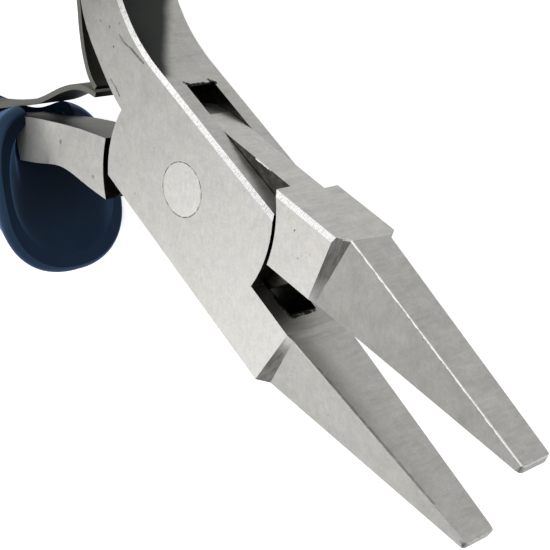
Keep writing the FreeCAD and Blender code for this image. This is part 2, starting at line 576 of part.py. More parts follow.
def tang_block(side, grow):
    """The tang's own outline, a little larger all round, for the pocket inside the grip."""
    inner = (box_inner if side > 0 else [(x, y) for x, y in tongue_inner])
    outer = (box_outer if side > 0 else tongue_outer)
    def shift(pts, way):
        c = Part.BSplineCurve()
        c.interpolate([v2(p) for p in pts])
        out = []
        for i in range(61):
            u = c.FirstParameter + (c.LastParameter - c.FirstParameter) * i / 60
            p = c.value(u)
            d = c.tangent(u)[0]
            n = Vector(-d.y, d.x, 0)
            if (n.y > 0) != (way > 0):
                n = n * -1
            out.append(p + n * grow)
        b = Part.BSplineCurve()
        b.interpolate(out)
        return b, out[0], out[-1]
    a, a0, a1 = shift(inner, -side)
    b, b0, b1 = shift(outer, side)
    e = Vector(-0.3, 0, 0)
    wire = Part.Wire([a.toShape(), Part.makeLine(a1, a1 + e), Part.makeLine(a1 + e, b1 + e), Part.makeLine(b1 + e, b1),
                      b.toShape(), Part.makeLine(b0, a0)])
    face = Part.Face(wire)
    if face.normalAt(0, 0).z < 0:
        face.reverse()
    solid = face.extrude(Vector(0, 0, 2 * HALF + 2))
    solid.translate(Vector(0, 0, -HALF - 1))
    # same thinning as the tang
    t = V["tang_half"] + grow
    pts = [Vector(-20.0, 0, HALF + grow), Vector(-23.0, 0, HALF - 0.12 + grow), Vector(-26.5, 0, HALF - 0.62 + grow), Vector(-30.0, 0, t + 0.18),
           Vector(-33.0, 0, t)]
    c = Part.BSplineCurve()
    c.interpolate(Points=pts, InitialTangent=Vector(-1, 0, 0), FinalTangent=Vector(-1, 0, 0))
    low = Part.BSplineCurve()
    low.interpolate(Points=[Vector(p.x, 0, -p.z) for p in pts], InitialTangent=Vector(-1, 0, 0), FinalTangent=Vector(-1, 0, 0))
    prof = Part.Wire([Part.makeLine(Vector(-5, 0, -HALF - grow), Vector(-5, 0, HALF + grow)),
                      Part.makeLine(Vector(-5, 0, HALF + grow), pts[0]), c.toShape(),
                      Part.makeLine(pts[-1], Vector(-95, 0, t)), Part.makeLine(Vector(-95, 0, t), Vector(-95, 0, -t)),
                      Part.makeLine(Vector(-95, 0, -t), Vector(-33, 0, -t)), low.toShape(),
                      Part.makeLine(Vector(-20, 0, -HALF - grow), Vector(-5, 0, -HALF - grow))])
    slab = Part.Face(prof).extrude(Vector(0, 80, 0))
    slab.translate(Vector(0, -40, 0))
    return solid.common(slab)


def channel(side):
    """Open channel on the side that looks at the other handle: the spring lies in it, and it is where the rivet sits."""
    c = Part.BSplineCurve()
    pts = [Vector(x, y, 0) for x, y in (tongue_inner if side < 0 else [(x, -y) for x, y in box_inner])]
    c.interpolate(pts)
    line = []
    for i in range(81):
        u = c.FirstParameter + (c.LastParameter - c.FirstParameter) * i / 80
        p = c.value(u)
        if -54.0 < p.x < -17.5:
            line.append(Vector(p.x, p.y - 0.2, 0))
    edge = Part.BSplineCurve()
    edge.interpolate(line)
    a, b = line[0], line[-1]
    wire = Part.Wire([edge.toShape(), Part.makeLine(b, Vector(b.x + 0.6, b.y + 12, 0)),
                      Part.makeLine(Vector(b.x + 0.6, b.y + 12, 0), Vector(a.x, a.y + 12, 0)), Part.makeLine(Vector(a.x, a.y + 12, 0), a)])
    face = Part.Face(wire)
    wide = V["channel_wide"]
    solid = face.extrude(Vector(0, 0, wide))
    solid.translate(Vector(0, 0, -wide / 2))
    if side > 0:
        solid = solid.mirror(Vector(0, 0, 0), Vector(0, 1, 0))
    return solid


grips = {}
for name, side in (("box_grip", 1), ("tongue_grip", -1)):
    shell = grip_shell(side)
    shell = shell.cut(grip_shell(side, DISH))
    solid = shell.cut(tang_block(side, 0.02)).cut(channel(side))
    if solid.ShapeType == "Compound":
        solid = max(solid.Solids, key=lambda s: s.Volume)
    o = doc.addObject("Part::Feature", name)
    o.Shape = solid
    o.Label = name
    grips[name] = o

# The tongue half's shank leans on its inner side: its underside edge lies lower than its upper edge.
lean_pts = [(-12.6, -1.74), (-14.6, -2.4)] + tongue_inner[:6]
fade = [1.0, 1.0, 1.0, 1.0, 1.0, 0.9, 0.55, 0.1]
rims = []
for z in (HALF + 0.3, -HALF - 0.3):
    c = Part.BSplineCurve()
    c.interpolate([Vector(x, y - 0.1 * k * (HALF - z), z) for (x, y), k in zip(lean_pts, fade)])
    rims.append(c.toShape())
lean_tool = doc.addObject("Part::Feature", "shank_lean_tool")
lean_tool.Shape = Part.makeRuledSurface(rims[0], rims[1]).extrude(Vector(0, 3.0, 0))
leaning = doc.addObject("Part::Cut", "tongue_half_leaning")
leaning.Base = ton
leaning.Tool = lean_tool
doc.recompute()
assert leaning.Shape.Volume < ton.Shape.Volume - 5.0, "shank lean cut nothing"

# Spring rivets end inside the tang, so each tang has a blind hole for its rivet.
tang_holes = {}
for name, side, half in (("box_half", 1, box), ("tongue_half", -1, leaning)):
    p, n = spring_root_frame(side)
    hole = sheet_cylinder(name + "_rivet_hole", "spring_rivet_rad", 3.0, axis_placement(p - n * 3.0, n))
    o = doc.addObject("Part::Cut", name + "_drilled")
    o.Base = half
    o.Tool = hole
    half.Label = name + "_blank"
    (ton if name == "tongue_half" else half).Label = name + "_body"
    o.Label = name
    tang_holes[name] = o
doc.recompute()

# ------------------------------------------------------------------ placing in the resting pose
lift = Vector(0, 0, HALF)
subs = [(tang_holes["box_half"], -1), (tang_holes["tongue_half"], 1), (riv, -1), (leaf_cuts["box_spring"], -1), (leaf_cuts["tongue_spring"], 1),
        (rivets["box_spring"], -1), (rivets["tongue_spring"], 1), (grips["box_grip"], -1), (grips["tongue_grip"], 1)]
for obj, way in subs:
    obj.Placement = Placement(lift, Rotation(Vector(0, 0, 1), way * V["half_open"]))
    obj.setExpression("Placement.Rotation.Angle", f"Dims.half_open" if way > 0 else "Dims.half_open")
    if way < 0:
        obj.Placement = Placement(lift, Rotation(Vector(0, 0, -1), V["half_open"]))
    obj.setExpression("Placement.Base.z", "Dims.joint_thick / 2")
doc.recompute()

for o in doc.Objects:
    if any(s in ("Invalid", "Error") for s in o.State):
        raise RuntimeError(f"{o.Name} is {o.State}")
os.makedirs("parts", exist_ok=True)
for obj, way in subs:
    shape = obj.Shape
    assert not shape.isNull() and shape.isValid(), obj.Label
    print(obj.Label, shape.ShapeType, len(shape.Solids), round(shape.Volume, 1), obj.Placement.Rotation.Axis, round(math.degrees(obj.Placement.Rotation.Angle), 3),
          [round(v, 2) for v in (shape.BoundBox.XMin, shape.BoundBox.XMax, shape.BoundBox.YMin, shape.BoundBox.YMax, shape.BoundBox.ZMin, shape.BoundBox.ZMax)])
    assert len(shape.Solids) == 1, obj.Label
    shape.exportStep(f"parts/{obj.Label}.step")
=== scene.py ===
import math
import bpy
import numpy as np
from mathutils import Matrix, Vector


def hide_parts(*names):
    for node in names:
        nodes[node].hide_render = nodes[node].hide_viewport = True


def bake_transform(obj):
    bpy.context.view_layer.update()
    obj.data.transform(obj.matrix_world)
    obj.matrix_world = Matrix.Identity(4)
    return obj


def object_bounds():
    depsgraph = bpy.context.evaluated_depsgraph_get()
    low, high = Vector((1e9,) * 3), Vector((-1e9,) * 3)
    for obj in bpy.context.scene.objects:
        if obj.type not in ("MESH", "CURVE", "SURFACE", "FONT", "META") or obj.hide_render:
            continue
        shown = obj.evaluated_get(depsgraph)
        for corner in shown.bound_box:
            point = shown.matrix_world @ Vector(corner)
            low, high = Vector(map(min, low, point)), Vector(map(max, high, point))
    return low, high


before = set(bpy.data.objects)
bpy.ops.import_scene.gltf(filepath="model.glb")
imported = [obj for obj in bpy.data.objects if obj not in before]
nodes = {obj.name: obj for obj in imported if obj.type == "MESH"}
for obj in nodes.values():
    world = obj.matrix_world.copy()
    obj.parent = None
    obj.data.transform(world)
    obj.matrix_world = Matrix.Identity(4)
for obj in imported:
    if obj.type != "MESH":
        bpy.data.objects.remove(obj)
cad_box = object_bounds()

scene = bpy.context.scene
scene.view_settings.view_transform = "Standard"
scene.view_settings.look = "None"
scene.view_settings.exposure = 0.0


# ---------------------------------------------------------------- node helpers
class Nodes:
    def __init__(self, tree):
        self.t = tree
        self.n = tree.nodes
        self.l = tree.links

    def put(self, sock, v):
        if isinstance(v, bpy.types.NodeSocket):
            self.l.new(v, sock)
        elif v is not None:
            if hasattr(sock.default_value, "__len__") and not hasattr(v, "__len__"):
                sock.default_value = [v] * len(sock.default_value)
            else:
                sock.default_value = v

    def math(self, op, a, b=None, c=None, clamp=False):
        m = self.n.new("ShaderNodeMath")
        m.operation = op
        m.use_clamp = clamp
        self.put(m.inputs[0], a)
        self.put(m.inputs[1], b)
        self.put(m.inputs[2], c)
        return m.outputs[0]

    def vmath(self, op, a, b=None, out=0):
        m = self.n.new("ShaderNodeVectorMath")
        m.operation = op
        self.put(m.inputs[0], a)
        if b is not None:
            self.put(m.inputs[3] if op == "SCALE" else m.inputs[1], b)
        return m.outputs[out]

    def sep(self, v):
        s = self.n.new("ShaderNodeSeparateXYZ")
        self.put(s.inputs[0], v)
        return s.outputs

    def comb(self, x, y, z):
        s = self.n.new("ShaderNodeCombineXYZ")
        for i, v in enumerate((x, y, z)):
            self.put(s.inputs[i], v)
        return s.outputs[0]

    def ramp01(self, v, lo, hi, a=0.0, b=1.0):
        """Smooth step of v from lo to hi, mapped to a..b."""
        m = self.n.new("ShaderNodeMapRange")
        m.interpolation_type = "SMOOTHSTEP"
        self.put(m.inputs[0], v)
        for i, x in ((1, lo), (2, hi), (3, a), (4, b)):
            m.inputs[i].default_value = x
        return m.outputs[0]

    def noise(self, vec, scale, detail=3.0, rough=0.55, lac=2.0):
        m = self.n.new("ShaderNodeTexNoise")
        self.put(m.inputs["Vector"], vec)
        m.inputs["Scale"].default_value = scale
        m.inputs["Detail"].default_value = detail
        m.inputs["Roughness"].default_value = rough
        m.inputs["Lacunarity"].default_value = lac
        return m.outputs["Fac"] if "Fac" in m.outputs else m.outputs[0]

    def voronoi(self, vec, scale, rand=1.0):
        m = self.n.new("ShaderNodeTexVoronoi")
        self.put(m.inputs["Vector"], vec)
        m.inputs["Scale"].default_value = scale
        m.inputs["Randomness"].default_value = rand
        return m.outputs["Distance"]

    def mix(self, fac, a, b, kind="MIX"):
        m = self.n.new("ShaderNodeMix")
        m.data_type = "RGBA"
        m.blend_type = kind
        self.put(m.inputs[0], fac)
        self.put(m.inputs[6], a if isinstance(a, bpy.types.NodeSocket) or len(a) == 4 else (*a, 1))
        self.put(m.inputs[7], b if isinstance(b, bpy.types.NodeSocket) or len(b) == 4 else (*b, 1))
        return m.outputs[2]

    def segment(self, px, py, a, b, half):
        """1 within half a width of the line from a to b (millimetres), 0 outside, soft edge."""
        ax, ay = a
        dx, dy = b[0] - a[0], b[1] - a[1]
        len2 = dx * dx + dy * dy
        qx = self.math("SUBTRACT", px, ax)
        qy = self.math("SUBTRACT", py, ay)
        t = self.math("ADD", self.math("MULTIPLY", qx, dx / len2), self.math("MULTIPLY", qy, dy / len2), clamp=True)
        ex = self.math("SUBTRACT", qx, self.math("MULTIPLY", t, dx))
        ey = self.math("SUBTRACT", qy, self.math("MULTIPLY", t, dy))
        d = self.math("SQRT", self.math("ADD", self.math("MULTIPLY", ex, ex), self.math("MULTIPLY", ey, ey)))
        return self.ramp01(d, half * 0.3, half, 1.0, 0.0)


def distance_to(k, mm, a, b):
    """Distance in millimetres from the shaded point to the straight line from a to b."""
    a, b = Vector(a), Vector(b)
    ab = b - a
    q = k.vmath("SUBTRACT", mm, tuple(a))
    t = k.math("DIVIDE", k.vmath("DOT_PRODUCT", q, tuple(ab), out=1), ab.length_squared, clamp=True)
    off = k.vmath("SUBTRACT", q, k.vmath("SCALE", tuple(ab), t))
    return k.vmath("LENGTH", off, out=1)


def new_material(name):
    m = bpy.data.materials.new(name)
    m.use_nodes = True
    m.node_tree.nodes.clear()
    k = Nodes(m.node_tree)
    out = k.n.new("ShaderNodeOutputMaterial")
    bsdf = k.n.new("ShaderNodeBsdfPrincipled")
    k.l.new(bsdf.outputs[0], out.inputs[0])
    tc = k.n.new("ShaderNodeTexCoord")
    mm = k.vmath("SCALE", tc.outputs["Object"], 1000.0)
    return m, k, bsdf, mm, tc.outputs["Normal"]


def bump(k, bsdf, height, distance, strength=1.0):
    b = k.n.new("ShaderNodeBump")
    b.inputs["Strength"].default_value = strength
    b.inputs["Distance"].default_value = distance
    k.put(b.inputs["Height"], height)
    k.l.new(b.outputs[0], bsdf.inputs["Normal"])


HIGHLIGHT_PAINT = (1.0, 1.0, 0.99)
DARK = (0.012, 0.012, 0.010)


def steel(name, marks=(), pits=(), specks=(), arrises=(), tint=(0.64, 0.635, 0.612), gloss=0.31, kind="half"):
    """Satin ground steel. kind: "box" and "tongue" for the two halves, "rivet" for the round parts."""
    m, k, bsdf, mm, nrm = new_material(name)
    x, y, z = k.sep(mm)[:3]
    nx, ny, nz = k.sep(nrm)[:3]
    absnz = k.math("ABSOLUTE", nz)
    flat = k.ramp01(absnz, 0.80, 0.93)                                         # faces square to the pivot
    cross = k.ramp01(k.math("ABSOLUTE", ny), 0.80, 0.93)                       # top, bottom and gripping faces
    near = k.ramp01(nz, 0.985, 0.998)
    radius = k.math("SQRT", k.math("ADD", k.math("MULTIPLY", x, x), k.math("MULTIPLY", y, y)))

    # tone: soft blotches, fine mottling and the grinding marks of each face
    blotch = k.noise(mm, 0.42, 4.0, 0.62)
    mid = k.noise(mm, 1.3, 3.0, 0.6)
    fine = k.noise(mm, 4.2, 3.0, 0.65)
    turned = k.noise(k.comb(k.math("ADD", k.math("MULTIPLY", x, 2.2), k.math("MULTIPLY", y, 1.3)), k.math("SUBTRACT", k.math("MULTIPLY", y, 0.7), k.math("MULTIPLY", x, 0.4)), z), 1.1, 3.0, 0.6)
    streak = k.noise(k.comb(k.math("MULTIPLY", x, 3.4), y, k.math("MULTIPLY", z, 0.45)), 0.9, 5.0, 0.7)
    slow = k.noise(k.comb(k.math("MULTIPLY", x, 1.4), y, k.math("MULTIPLY", z, 0.25)), 0.5, 2.0, 0.5)

    def centred(v, amount):
        return k.math("MULTIPLY", k.math("SUBTRACT", v, 0.5), amount)

    tone = k.math("ADD", centred(blotch, 0.30), centred(mid, 0.24))
    tone = k.math("ADD", tone, centred(fine, 0.30))
    tone = k.math("ADD", tone, k.math("MULTIPLY", centred(turned, 0.22), flat))
    tone = k.math("ADD", tone, k.math("MULTIPLY", k.math("ADD", centred(streak, 0.46), centred(slow, 0.24)), cross))
    bright = k.math("ADD", tone, 1.0)
    warm = k.noise(mm, 0.28, 2.0, 0.5)
    colour = k.mix(warm, (tint[0] * 0.985, tint[1], tint[2] * 1.03), (tint[0] * 1.015, tint[1], tint[2] * 0.96))
    colour = k.mix(1.0, colour, k.comb(bright, bright, bright), "MULTIPLY")

    # small dark pits scattered over the faces, and the larger ones by name
    cell = k.voronoi(mm, 0.70)
    dark = k.math("MULTIPLY", k.math("MULTIPLY", k.ramp01(cell, 0.03, 0.085, 1.0, 0.0), k.ramp01(k.noise(mm, 0.9, 1.0), 0.48, 0.60)), 0.50)
    for px, py, pr, pd in pits:
        e = k.math("SQRT", k.math("ADD", k.math("POWER", k.math("SUBTRACT", x, px), 2.0), k.math("POWER", k.math("SUBTRACT", y, py), 2.0)))
        dark = k.math("MAXIMUM", dark, k.math("MULTIPLY", k.ramp01(k.math("ADD", e, centred(fine, 0.25)), pr * 0.3, pr, pd, 0.0), near))
    for a, b, half, depth in marks:
        line = k.segment(x, y, a, b, half)
        dark = k.math("MAXIMUM", dark, k.math("MULTIPLY", k.math("MULTIPLY", k.math("MULTIPLY", line, k.ramp01(fine, 0.34, 0.56, 0.45, 1.0)), depth), near))
    if kind in ("box", "rivet_pin"):
        # seam round the flush pivot rivet
        seam = k.ramp01(k.math("ABSOLUTE", k.math("SUBTRACT", radius, 2.90)), 0.025, 0.085, 1.0, 0.0)
        seam = k.math("MULTIPLY", seam, k.ramp01(k.noise(mm, 1.6, 2.0), 0.40, 0.56, 0.30, 0.85))
        dark = k.math("MAXIMUM", dark, k.math("MULTIPLY", seam, flat))
    colour = k.mix(dark, colour, (0.10, 0.095, 0.080))
    for px, py, pr in specks:
        e = k.math("SQRT", k.math("ADD", k.math("POWER", k.math("SUBTRACT", x, px), 2.0), k.math("POWER", k.math("SUBTRACT", y, py), 2.0)))
        colour = k.mix(k.math("MULTIPLY", k.ramp01(e, pr * 0.3, pr, 0.6, 0.0), near), colour, (0.52, 0.44, 0.20))

    rough = k.math("ADD", k.math("MULTIPLY", blotch, 0.12), gloss - 0.06)
    height = k.math("ADD", k.math("MULTIPLY", k.math("ADD", turned, fine), k.math("MULTIPLY", flat, 0.7)), k.math("MULTIPLY", streak, k.math("MULTIPLY", cross, 1.6)))
    height = k.math("SUBTRACT", height, k.math("MULTIPLY", dark, 1.2))

    if kind in ("box", "tongue"):
        # ground bevels: bright, with short marks running across them
        strip = k.math("MULTIPLY", k.ramp01(ny, 0.225, 0.26), k.ramp01(absnz, 0.88, 0.93))
        strip = k.math("MULTIPLY", strip, k.ramp01(x, 20.0, 19.4))
        scratch = k.noise(k.comb(k.math("MULTIPLY", x, 6.0), k.math("MULTIPLY", y, 1.6), z), 1.2, 3.0, 0.75)
        chip = k.math("MULTIPLY", k.ramp01(scratch, 0.33, 0.46, 1.0, 0.0), strip)
        colour = k.mix(strip, colour, k.mix(k.ramp01(scratch, 0.36, 0.50), (0.72, 0.71, 0.68), (1.0, 1.0, 1.0)))
        rough = k.math("ADD", k.math("MULTIPLY", rough, k.math("SUBTRACT", 1.0, strip)), k.math("MULTIPLY", strip, 0.27))
        height = k.math("ADD", height, k.math("MULTIPLY", k.math("MULTIPLY", scratch, strip), 1.8))
        # painted shade: the curved joint faces and the inside of the slot are darkened to near black, as the shade
        # between the two halves
        radial = k.math("ABSOLUTE", k.math("DIVIDE", k.math("ADD", k.math("MULTIPLY", x, nx), k.math("MULTIPLY", y, ny)), radius))
        ring = k.math("MULTIPLY", k.ramp01(radius, 11.4, 11.6), k.ramp01(radius, 14.0, 13.8))
        joint_painted_shade = k.math("MULTIPLY", k.math("MULTIPLY", k.ramp01(radial, 0.93, 0.97), ring), k.ramp01(absnz, 0.4, 0.2))
        inner = k.ramp01(k.math("ABSOLUTE", k.math("SUBTRACT", z, 4.0)), 1.99, 1.93)
        joint_painted_shade = k.math("MAXIMUM", joint_painted_shade, k.math("MULTIPLY", inner, flat))
        for wx, wy in ((-0.635, 0.773), (0.795, -0.607), (0.816, -0.578)):
            wall = k.ramp01(k.math("ADD", k.math("MULTIPLY", nx, wx), k.math("MULTIPLY", ny, wy)), 0.985, 0.995)
            joint_painted_shade = k.math("MAXIMUM", joint_painted_shade, k.math("MULTIPLY", k.math("MULTIPLY", wall, inner), k.ramp01(radius, 17.5, 17.0)))
        colour = k.mix(k.math("MULTIPLY", joint_painted_shade, k.ramp01(mid, 0.30, 0.75, 0.97, 0.88)), colour, (0.030, 0.028, 0.022))
        # the short leaning step between block and jaw is dull, with draw marks along it
        step = k.math("MULTIPLY", k.math("MULTIPLY", k.ramp01(nx, 0.42, 0.55), k.ramp01(absnz, 0.35, 0.5)), k.math("MULTIPLY", k.ramp01(x, 17.5, 18.2), k.ramp01(x, 22.5, 21.8)))
        draw = k.noise(k.comb(x, k.math("MULTIPLY", y, 0.5), k.math("MULTIPLY", z, 5.0)), 1.0, 4.0, 0.7)
        colour = k.mix(k.math("MULTIPLY", step, k.ramp01(draw, 0.30, 0.70, 0.15, 0.75)), colour, (0.20, 0.195, 0.18))
        # painted reflection: a dark patch on the box handle's hollow top near its root, standing in for a dark
        # surround reflected there; on the tongue half, painted shade on the handle's inner face
        wave = centred(k.noise(mm, 0.35, 2.0, 0.5), 0.8)
        if kind == "box":
            edge = k.math("SUBTRACT", k.math("ADD", z, wave), k.math("ADD", k.math("MULTIPLY", x, 0.664), 12.9))
            scale = k.math("MULTIPLY", k.ramp01(edge, -1.1, 0.9), k.ramp01(ny, 0.62, 0.78))
            scale = k.math("MULTIPLY", scale, k.math("MULTIPLY", k.ramp01(x, -7.4, -8.6), k.ramp01(y, 5.0, 6.0)))
            painted_dark_colour, amount = (0.040, 0.045, 0.042), 0.97
        else:
            # painted shade on the tongue handle's inner face, which faces the other handle
            scale = k.math("MULTIPLY", k.ramp01(ny, 0.45, 0.65), k.math("MULTIPLY", k.ramp01(x, -11.0, -11.8), k.ramp01(k.math("ADD", y, k.math("MULTIPLY", wave, 0.6)), 2.0, 0.0)))
            painted_dark_colour, amount = (0.085, 0.085, 0.080), 0.86
        colour = k.mix(k.math("MULTIPLY", scale, amount), colour, painted_dark_colour)
    if kind == "box":
        # painted shade on the gripping face: darker towards its upper edge, and darker near the step by the joint
        grip = k.math("MULTIPLY", k.ramp01(ny, 0.93, 0.97), k.math("MULTIPLY", k.ramp01(x, 12.6, 13.4), k.ramp01(y, 0.5, -0.5)))
        shade = k.math("MULTIPLY", k.ramp01(k.math("ADD", z, k.math("ADD", k.math("MULTIPLY", centred(slow, 1.0), 0.7), k.math("MULTIPLY", centred(streak, 1.0), 3.0))), 4.2, 7.8, 0.0, 0.42), k.ramp01(x, 46.0, 22.0))
        shade = k.math("MAXIMUM", shade, k.math("MULTIPLY", k.ramp01(k.math("ADD", x, centred(streak, 1.5)), 22.0, 17.5), k.ramp01(z, 1.0, 6.8, 0.25, 0.85)))
        colour = k.mix(k.math("MULTIPLY", grip, shade), colour, (0.15, 0.148, 0.135))
    if kind == "box":
        # painted shade: the jaw's outer flat is darkened towards its tip
        colour = k.mix(k.math("MULTIPLY", k.ramp01(x, 34.0, 46.0, 0.0, 0.16), k.ramp01(nz, 0.80, 0.95)), colour, (0.15, 0.148, 0.135))
    if kind == "tongue":
        # painted shade on the shank where it comes out of its grip, beside the finger guard
        shank_painted_shade = k.math("MULTIPLY", k.ramp01(k.math("ADD", x, k.math("MULTIPLY", wave, 1.2)), -20.6, -24.6, 0.0, 0.24), k.ramp01(y, 0.0, -2.0))
        colour = k.mix(k.math("MULTIPLY", shank_painted_shade, flat), colour, (0.16, 0.16, 0.15))

    # the long arrises: bright entries are bumped round with a painted highlight along them, broken along their length;
    # dark entries are painted shade at the front gap and the rear slot mouth, and dark marks at the lower jaw's near
    # edge and tip
    for a, b, wide, keen, paint in arrises:
        gap = distance_to(k, mm, a, b)
        ragged = k.noise(mm, 1.1, 4.0, 0.75)
        reach = k.math("MULTIPLY", k.ramp01(ragged, 0.30, 0.66, 0.45, 1.25), wide)
        share = k.math("DIVIDE", gap, reach, clamp=True)
        edge_light_and_shade = k.math("MULTIPLY", k.math("MULTIPLY", k.ramp01(share, 0.60, 1.0, 1.0, 0.0), k.ramp01(ragged, 0.36, 0.52, 0.35, 1.0)), keen)
        colour = k.mix(edge_light_and_shade, colour, paint)
        if paint is HIGHLIGHT_PAINT:
            height = k.math("SUBTRACT", height, k.math("MULTIPLY", k.ramp01(share, 0.0, 1.0, 1.0, 0.0), 60.0 * wide * keen))
    k.l.new(colour, bsdf.inputs["Base Color"])
    k.l.new(rough, bsdf.inputs["Roughness"])
    # dried oil and dust at the handle's root leave it less of a mirror there
    if kind == "tongue":
        k.l.new(k.math("SUBTRACT", 1.0, k.math("MULTIPLY", k.ramp01(x, -17.4, -20.8, 0.0, 0.50), flat)), bsdf.inputs["Metallic"])
    else:
        bsdf.inputs["Metallic"].default_value = 1.0
    bump(k, bsdf, height, 0.000012, 0.7)
    return m


def spring_strip(name):
    m, k, bsdf, mm, nrm = new_material(name)
    nz = k.sep(nrm)[2]
    # painted shade and highlight: the broad faces get a near-black colour for the shade they sit in, the narrow edges
    # a lighter colour as a painted highlight
    edge = k.ramp01(k.math("ABSOLUTE", nz), 0.75, 0.93)
    cloud = k.noise(mm, 0.7, 4.0, 0.6)
    fine = k.noise(mm, 5.0, 3.0, 0.6)
    broad_shade = k.mix(cloud, (0.030, 0.030, 0.024), (0.075, 0.075, 0.064))
    rim_highlight = k.mix(fine, (0.13, 0.128, 0.11), (0.34, 0.335, 0.31))
    colour = k.mix(edge, broad_shade, rim_highlight)
    k.l.new(colour, bsdf.inputs["Base Color"])
    k.l.new(k.math("ADD", k.math("MULTIPLY", cloud, 0.15), 0.27), bsdf.inputs["Roughness"])
    bsdf.inputs["Metallic"].default_value = 1.0
    bump(k, bsdf, fine, 0.00001, 0.6)
    return m


def plastic(name):
    m, k, bsdf, mm, nrm = new_material(name)
    cloud = k.noise(mm, 0.20, 3.0, 0.55)
    grain = k.noise(mm, 7.0, 2.0, 0.6)
    colour = k.mix(cloud, (0.0018, 0.0100, 0.0270), (0.0046, 0.0185, 0.0440))
    dust = k.ramp01(k.noise(mm, 2.0, 4.0, 0.7), 0.60, 0.80, 0.0, 0.12)
    colour = k.mix(dust, colour, (0.030, 0.050, 0.085))
    # painted highlight: the rounded rims and outer sides are painted paler, as the sheen of light along them
    x, y, z = k.sep(mm)[:3]
    nx, ny, nz = k.sep(nrm)[:3]
    turned = k.math("ADD", k.math("MULTIPLY", nx, 0.6), k.math("ABSOLUTE", k.math("MULTIPLY", ny, 0.8)))
    colour = k.mix(k.math("MULTIPLY", k.ramp01(turned, 0.97, 0.78), k.ramp01(cloud, 0.25, 0.75, 0.75, 1.0)), colour, (0.0090, 0.0290, 0.0680))
    rim_highlight = k.math("MULTIPLY", k.math("MULTIPLY", k.ramp01(turned, 0.990, 0.90), k.ramp01(x, -33.0, -25.0)), k.ramp01(cloud, 0.25, 0.75, 0.70, 1.0))
    colour = k.mix(rim_highlight, colour, (0.0200, 0.0460, 0.0880))
    # painted shadow cast by the shank on the finger guard, round the mouth where the shank enters it
    x, y, z = k.sep(mm)[:3]
    nx, ny, nz = k.sep(nrm)[:3]
    away = k.math("SUBTRACT", k.math("MULTIPLY", k.math("ADD", x, 22.15), 0.8), k.math("MULTIPLY", k.math("SUBTRACT", 16.48, k.math("ABSOLUTE", y)), -0.6))
    facing = k.math("ADD", k.math("MULTIPLY", nx, 0.6), k.math("ABSOLUTE", k.math("MULTIPLY", ny, 0.8)))
    shank_shadow = k.math("MULTIPLY", k.math("MULTIPLY", k.ramp01(away, 2.3, 0.5), k.ramp01(away, -9.0, -7.0)), k.math("MULTIPLY", k.ramp01(facing, 0.80, 0.95), k.ramp01(x, -27.0, -25.0)))
    colour = k.mix(k.math("MULTIPLY", shank_shadow, 0.72), colour, (0.0006, 0.0030, 0.0080))
    k.l.new(colour, bsdf.inputs["Base Color"])
    k.l.new(k.math("ADD", k.math("MULTIPLY", cloud, 0.14), 0.40), bsdf.inputs["Roughness"])
    bsdf.inputs["Specular IOR Level"].default_value = 0.10
    bsdf.inputs["Sheen Weight"].default_value = 0.85
    bsdf.inputs["Sheen Roughness"].default_value = 0.30
    bsdf.inputs["Sheen Tint"].default_value = (0.20, 0.42, 0.90, 1.0)
    bump(k, bsdf, k.math("ADD", k.math("MULTIPLY", grain, 0.5), cloud), 0.00003, 0.5)
    return m


# ---------------------------------------------------------------- materials on the CAD nodes
# box arrises: the bright entries are painted highlights; the dark entries at the front gap and the rear slot mouth are
# painted shade
box_steel = steel("box_half_steel", kind="box",
                  arrises=[((24.0, -2.99, 7.43), (41.0, -4.6, 6.30), 0.20, 0.45, (0.12, 0.12, 0.11)), ((20.23, -2.63, 7.94), (45.87, -5.06, 6.20), 0.13, 0.55, HIGHLIGHT_PAINT), ((20.3, -2.66, 0.06), (45.87, -5.06, 1.80), 0.10, 0.4, HIGHLIGHT_PAINT),
                           ((18.9, -9.9, 8.0), (-1.0, -7.5, 8.0), 0.10, 0.30, HIGHLIGHT_PAINT), ((45.9, -5.06, 6.3), (45.9, -5.06, 2.0), 0.22, 0.6, HIGHLIGHT_PAINT),
                           ((45.2, -5.3, 6.25), (45.9, -5.5, 6.2), 0.30, 0.55, DARK), ((13.2, -1.92, 5.90), (17.6, -2.45, 5.90), 0.42, 1.0, DARK),
                           ((17.55, -2.45, 5.6), (17.55, -2.45, 2.4), 0.26, 1.0, DARK), ((-6.95, 8.2, 6.0), (-6.6, 8.2, 5.5), 0.34, 1.0, DARK),
                           ((-6.9, 8.2, 2.5), (-6.5, 8.2, 1.9), 0.34, 1.0, DARK), ((-6.6, 8.2, 5.8), (-6.6, 8.2, 2.0), 0.20, 1.0, DARK)],
                  marks=[((-15.9, 8.0), (-14.9, 7.75), 0.12, 0.75), ((-14.9, 7.75), (-13.6, 7.85), 0.16, 0.80), ((-13.6, 7.85), (-11.4, 7.72), 0.20, 0.85),
                         ((-14.8, 3.1), (-13.8, 2.85), 0.10, 0.75), ((-13.8, 2.85), (-12.7, 2.4), 0.14, 0.85)],
                  pits=[(-17.62, 7.80, 0.20, 0.75), (-16.06, 6.36, 0.20, 0.70), (-16.51, 9.00, 0.15, 0.55), (-19.14, 7.48, 0.20, 0.60), (-5.5, -5.2, 0.16, 0.4)])
